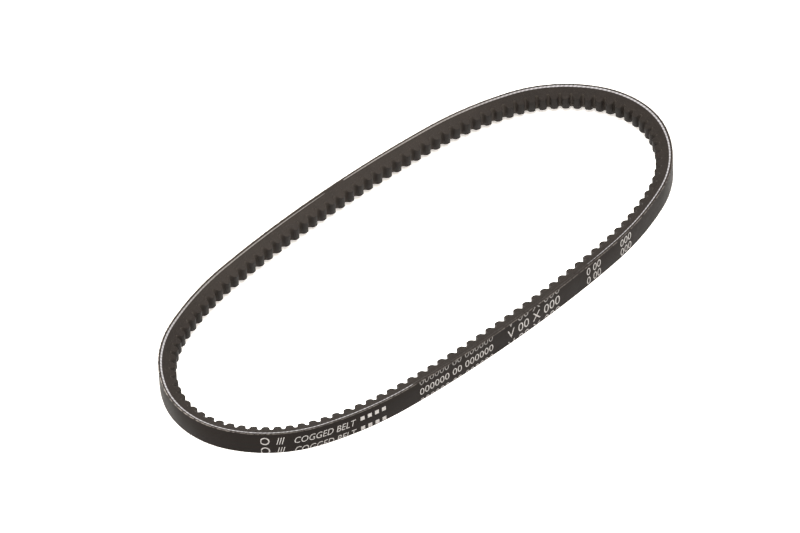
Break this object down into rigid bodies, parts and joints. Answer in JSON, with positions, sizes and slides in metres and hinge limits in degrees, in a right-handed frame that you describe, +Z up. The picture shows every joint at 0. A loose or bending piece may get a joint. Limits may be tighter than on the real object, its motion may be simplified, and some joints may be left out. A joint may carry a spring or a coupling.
{
  "type": "v belt",
  "caption": "Endless raw-edge V belt with moulded cogs inside, lying on its edge as a free oval loop that can be squeezed slimmer or opened rounder.",
  "frame": {"origin": "middle of the loop, on the plane that its lower edge rests on", "axes": "+X along the loop's long axis, +Y across the loop, +Z up through the belt's width, parallel to the shafts of the pulleys that it would run on"},
  "size_m": [0.2538, 0.111, 0.01],
  "materials": {
    "back_rubber": "calendered, satin",
    "cushion_rubber": "cut, matte",
    "tension_cord": "twisted polyester",
    "cog_rubber": "fibre-filled, moulded and ground, matte"
  },
  "bodies": {
    "section_01": {"back_cover_01": "back_rubber", "cushion_rubber_01": "cushion_rubber", "tension_cords_01": "tension_cord", "cog_rubber_01": "cog_rubber"},
    "section_02": {"back_cover_02": "back_rubber", "cushion_rubber_02": "cushion_rubber", "tension_cords_02": "tension_cord", "cog_rubber_02": "cog_rubber"},
    "section_03": {"back_cover_03": "back_rubber", "cushion_rubber_03": "cushion_rubber", "tension_cords_03": "tension_cord", "cog_rubber_03": "cog_rubber"},
    "section_04": {"back_cover_04": "back_rubber", "cushion_rubber_04": "cushion_rubber", "tension_cords_04": "tension_cord", "cog_rubber_04": "cog_rubber"},
    "section_05": {"back_cover_05": "back_rubber", "cushion_rubber_05": "cushion_rubber", "tension_cords_05": "tension_cord", "cog_rubber_05": "cog_rubber"},
    "section_06": {"back_cover_06": "back_rubber", "cushion_rubber_06": "cushion_rubber", "tension_cords_06": "tension_cord", "cog_rubber_06": "cog_rubber"},
    "section_07": {"back_cover_07": "back_rubber", "cushion_rubber_07": "cushion_rubber", "tension_cords_07": "tension_cord", "cog_rubber_07": "cog_rubber"},
    "section_08": {"back_cover_08": "back_rubber", "cushion_rubber_08": "cushion_rubber", "tension_cords_08": "tension_cord", "cog_rubber_08": "cog_rubber"},
    "section_09": {"back_cover_09": "back_rubber", "cushion_rubber_09": "cushion_rubber", "tension_cords_09": "tension_cord", "cog_rubber_09": "cog_rubber"},
    "section_10": {"back_cover_10": "back_rubber", "cushion_rubber_10": "cushion_rubber", "tension_cords_10": "tension_cord", "cog_rubber_10": "cog_rubber"},
    "section_11": {"back_cover_11": "back_rubber", "cushion_rubber_11": "cushion_rubber", "tension_cords_11": "tension_cord", "cog_rubber_11": "cog_rubber"},
    "section_12": {"back_cover_12": "back_rubber", "cushion_rubber_12": "cushion_rubber", "tension_cords_12": "tension_cord", "cog_rubber_12": "cog_rubber"},
    "section_13": {"back_cover_13": "back_rubber", "cushion_rubber_13": "cushion_rubber", "tension_cords_13": "tension_cord", "cog_rubber_13": "cog_rubber"}
  },
  "joints": [
    {"name": "bend_07", "type": "hinge", "parent": "section_05", "child": "section_06", "pos_m": [-0.10743, 0.03462, 0.005], "axis": [0, 0, 1], "range_deg": [-12.74, 7.09], "stiffness_Nm_per_rad": 0.05},
    {"name": "loop_flex", "type": "hinge", "parent": "section_06", "child": "section_07", "pos_m": [-0.12566, 0, 0.005], "axis": [0, 0, 1], "range_deg": [-18, 10], "stiffness_Nm_per_rad": 0.05},
    {"name": "bend_09", "type": "hinge", "parent": "section_07", "child": "section_08", "pos_m": [-0.11124, -0.03127, 0.005], "axis": [0, 0, 1], "range_deg": [-12.74, 7.09], "stiffness_Nm_per_rad": 0.05},
    {"name": "bend_11", "type": "hinge", "parent": "section_08", "child": "section_09", "pos_m": [-0.03885, -0.05298, 0.005], "axis": [0, 0, 1], "range_deg": [-7.09, 12.74], "stiffness_Nm_per_rad": 0.05},
    {"name": "bend_12", "type": "hinge", "parent": "section_09", "child": "section_10", "pos_m": [-0.00259, -0.05424, 0.005], "axis": [0, 0, 1], "range_deg": [-10.01, 18.01], "stiffness_Nm_per_rad": 0.05},
    {"name": "bend_13", "type": "hinge", "parent": "section_10", "child": "section_11", "pos_m": [0.03368, -0.05331, 0.005], "axis": [0, 0, 1], "range_deg": [-7.09, 12.74], "stiffness_Nm_per_rad": 0.05},
    {"name": "bend_05", "type": "hinge", "parent": "section_05", "child": "section_04", "pos_m": [-0.03368, 0.05331, 0.005], "axis": [0, 0, 1], "range_deg": [-12.74, 7.09], "stiffness_Nm_per_rad": 0.05},
    {"name": "bend_04", "type": "hinge", "parent": "section_04", "child": "section_03", "pos_m": [0.00259, 0.05424, 0.005], "axis": [0, 0, 1], "range_deg": [-18.01, 10.01], "stiffness_Nm_per_rad": 0.05},
    {"name": "bend_03", "type": "hinge", "parent": "section_03", "child": "section_02", "pos_m": [0.03885, 0.05298, 0.005], "axis": [0, 0, 1], "range_deg": [-12.74, 7.09], "stiffness_Nm_per_rad": 0.05},
    {"name": "bend_01", "type": "hinge", "parent": "section_02", "child": "section_01", "pos_m": [0.11124, 0.03127, 0.005], "axis": [0, 0, 1], "range_deg": [-7.09, 12.74], "stiffness_Nm_per_rad": 0.05},
    {"name": "bend_00", "type": "hinge", "parent": "section_01", "child": "section_13", "pos_m": [0.12566, 0, 0.005], "axis": [0, 0, 1], "range_deg": [-10.01, 18.01], "stiffness_Nm_per_rad": 0.05},
    {"name": "bend_15", "type": "hinge", "parent": "section_13", "child": "section_12", "pos_m": [0.10743, -0.03462, 0.005], "axis": [0, 0, 1], "range_deg": [-7.09, 12.74], "stiffness_Nm_per_rad": 0.05}
  ],
  "couplings": [
    {"joint": "bend_07", "follows": "loop_flex", "ratio": 0.70711},
    {"joint": "bend_09", "follows": "loop_flex", "ratio": 0.70711},
    {"joint": "bend_11", "follows": "loop_flex", "ratio": -0.70711},
    {"joint": "bend_12", "follows": "loop_flex", "ratio": -1},
    {"joint": "bend_13", "follows": "loop_flex", "ratio": -0.70711},
    {"joint": "bend_05", "follows": "loop_flex", "ratio": 0.70711},
    {"joint": "bend_04", "follows": "loop_flex", "ratio": 1},
    {"joint": "bend_03", "follows": "loop_flex", "ratio": 0.70711},
    {"joint": "bend_01", "follows": "loop_flex", "ratio": -0.70711},
    {"joint": "bend_00", "follows": "loop_flex", "ratio": -1},
    {"joint": "bend_15", "follows": "loop_flex", "ratio": -0.70711}
  ]
}
